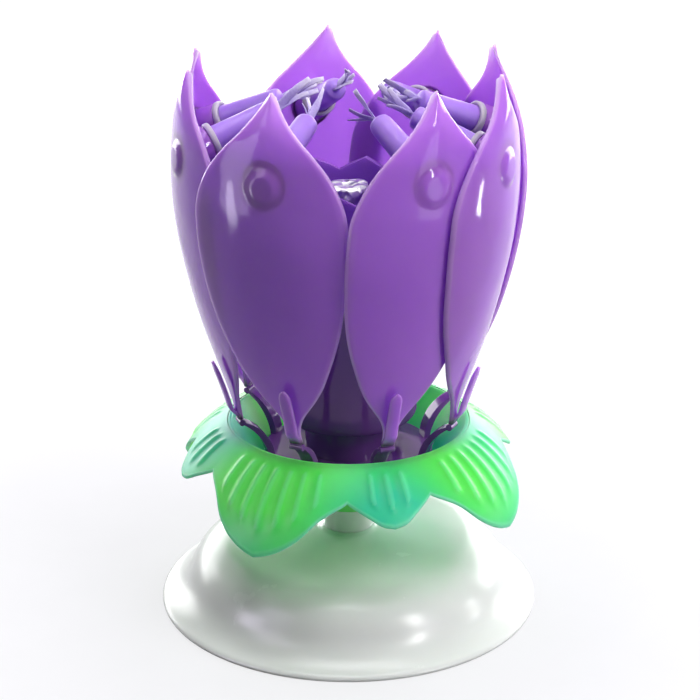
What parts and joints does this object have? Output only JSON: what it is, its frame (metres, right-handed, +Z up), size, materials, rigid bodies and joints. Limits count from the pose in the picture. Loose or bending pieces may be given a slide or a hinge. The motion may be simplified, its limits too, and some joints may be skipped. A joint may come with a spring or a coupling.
{
  "type": "musical lotus birthday candle",
  "caption": "Closed lotus-bud cake candle on a round stand: folding petals carry small candles round a foil fountain, and the bud turns to a melody.",
  "frame": {"origin": "middle of the stand's underside, on the surface it stands on", "axes": "+Z up along the spin axis; -Y towards the picture's viewer, +X to the viewer's right"},
  "size_m": [0.07, 0.07, 0.102],
  "materials": {
    "stand_plastic": "milky white, glossy, slightly translucent",
    "leaf_plastic": "bright green, glossy, translucent",
    "petal_plastic": "violet, glossy, translucent",
    "hub_plastic": "dark violet, glossy",
    "wax": "violet wax, satin",
    "collar_plastic": "pale grey, glossy",
    "wick_cotton": "lilac-grey waxed cotton",
    "foil": "crumpled silver foil",
    "card": "rolled card",
    "charge": "pressed grey powder",
    "steel": "plain steel",
    "brass": "thin sheet brass",
    "gear_nylon": "natural nylon",
    "board": "green board",
    "resin": "black resin"
  },
  "bodies": {
    "stand": {"stand_shell": "stand_plastic", "post": "stand_plastic", "sun_gear": "gear_nylon", "retaining_clip": "steel"},
    "flower": {"leaf_cup": "leaf_plastic", "petal_ring": "petal_plastic", "hub_housing": "hub_plastic", "idler_pin": "steel", "motor_deck": "gear_nylon", "motor_can": "steel", "motor_cap": "gear_nylon", "button_cell_1": "steel", "button_cell_2": "steel", "contact_minus": "brass", "contact_plus": "brass", "circuit_board": "board", "melody_chip": "resin", "sounder_disc": "brass", "crown": "hub_plastic", "fountain_tube": "card", "fountain_charge": "charge", "foil_wrap": "foil"},
    "idler": {"idler_gear": "gear_nylon"},
    "rotor": {"motor_shaft": "steel", "motor_pinion": "gear_nylon"},
    "petal_1": {"petal_1": "petal_plastic", "candle_1": "wax", "collar_1": "collar_plastic", "wick_1": "wick_cotton"},
    "petal_2": {"petal_2": "petal_plastic", "candle_2": "wax", "collar_2": "collar_plastic", "wick_2": "wick_cotton"},
    "petal_3": {"petal_3": "petal_plastic", "candle_3": "wax", "collar_3": "collar_plastic", "wick_3": "wick_cotton"},
    "petal_4": {"petal_4": "petal_plastic", "candle_4": "wax", "collar_4": "collar_plastic", "wick_4": "wick_cotton"},
    "petal_5": {"petal_5": "petal_plastic", "candle_5": "wax", "collar_5": "collar_plastic", "wick_5": "wick_cotton"},
    "petal_6": {"petal_6": "petal_plastic", "candle_6": "wax", "collar_6": "collar_plastic", "wick_6": "wick_cotton"},
    "petal_7": {"petal_7": "petal_plastic", "candle_7": "wax", "collar_7": "collar_plastic", "wick_7": "wick_cotton"},
    "petal_8": {"petal_8": "petal_plastic", "candle_8": "wax", "collar_8": "collar_plastic", "wick_8": "wick_cotton"}
  },
  "joints": [
    {"name": "flower_spin", "type": "hinge", "parent": "stand", "child": "flower", "pos_m": [0, 0, 0.0197], "axis": [0, 0, 1], "continuous": true},
    {"name": "idler_spin", "type": "hinge", "parent": "flower", "child": "idler", "pos_m": [-0.00529, 0, 0.04082], "axis": [0, 0, 1], "continuous": true},
    {"name": "rotor_spin", "type": "hinge", "parent": "flower", "child": "rotor", "pos_m": [-0.00206, 0.00611, 0.04292], "axis": [0, 0, 1], "continuous": true},
    {"name": "petal_1_fold", "type": "hinge", "parent": "flower", "child": "petal_1", "pos_m": [-0.00899, -0.01843, 0.0374], "axis": [0.8988, -0.4384, 0], "range_deg": [0, 72]},
    {"name": "petal_2_fold", "type": "hinge", "parent": "flower", "child": "petal_2", "pos_m": [0.00667, -0.01938, 0.0374], "axis": [0.9455, 0.3256, 0], "range_deg": [0, 72]},
    {"name": "petal_3_fold", "type": "hinge", "parent": "flower", "child": "petal_3", "pos_m": [0.01843, -0.00899, 0.0374], "axis": [0.4384, 0.8988, 0], "range_deg": [0, 72]},
    {"name": "petal_4_fold", "type": "hinge", "parent": "flower", "child": "petal_4", "pos_m": [0.01938, 0.00667, 0.0374], "axis": [-0.3256, 0.9455, 0], "range_deg": [0, 72]},
    {"name": "petal_5_fold", "type": "hinge", "parent": "flower", "child": "petal_5", "pos_m": [0.00899, 0.01843, 0.0374], "axis": [-0.8988, 0.4384, 0], "range_deg": [0, 72]},
    {"name": "petal_6_fold", "type": "hinge", "parent": "flower", "child": "petal_6", "pos_m": [-0.00667, 0.01938, 0.0374], "axis": [-0.9455, -0.3256, 0], "range_deg": [0, 72]},
    {"name": "petal_7_fold", "type": "hinge", "parent": "flower", "child": "petal_7", "pos_m": [-0.01843, 0.00899, 0.0374], "axis": [-0.4384, -0.8988, 0], "range_deg": [0, 72]},
    {"name": "petal_8_fold", "type": "hinge", "parent": "flower", "child": "petal_8", "pos_m": [-0.01938, -0.00667, 0.0374], "axis": [0.3256, -0.9455, 0], "range_deg": [0, 72]}
  ],
  "couplings": [
    {"joint": "idler_spin", "follows": "flower_spin", "ratio": 2.25},
    {"joint": "rotor_spin", "follows": "flower_spin", "ratio": -7.3125},
    {"joint": "petal_2_fold", "follows": "petal_1_fold", "ratio": 1},
    {"joint": "petal_3_fold", "follows": "petal_1_fold", "ratio": 1},
    {"joint": "petal_4_fold", "follows": "petal_1_fold", "ratio": 1},
    {"joint": "petal_5_fold", "follows": "petal_1_fold", "ratio": 1},
    {"joint": "petal_6_fold", "follows": "petal_1_fold", "ratio": 1},
    {"joint": "petal_7_fold", "follows": "petal_1_fold", "ratio": 1},
    {"joint": "petal_8_fold", "follows": "petal_1_fold", "ratio": 1}
  ]
}
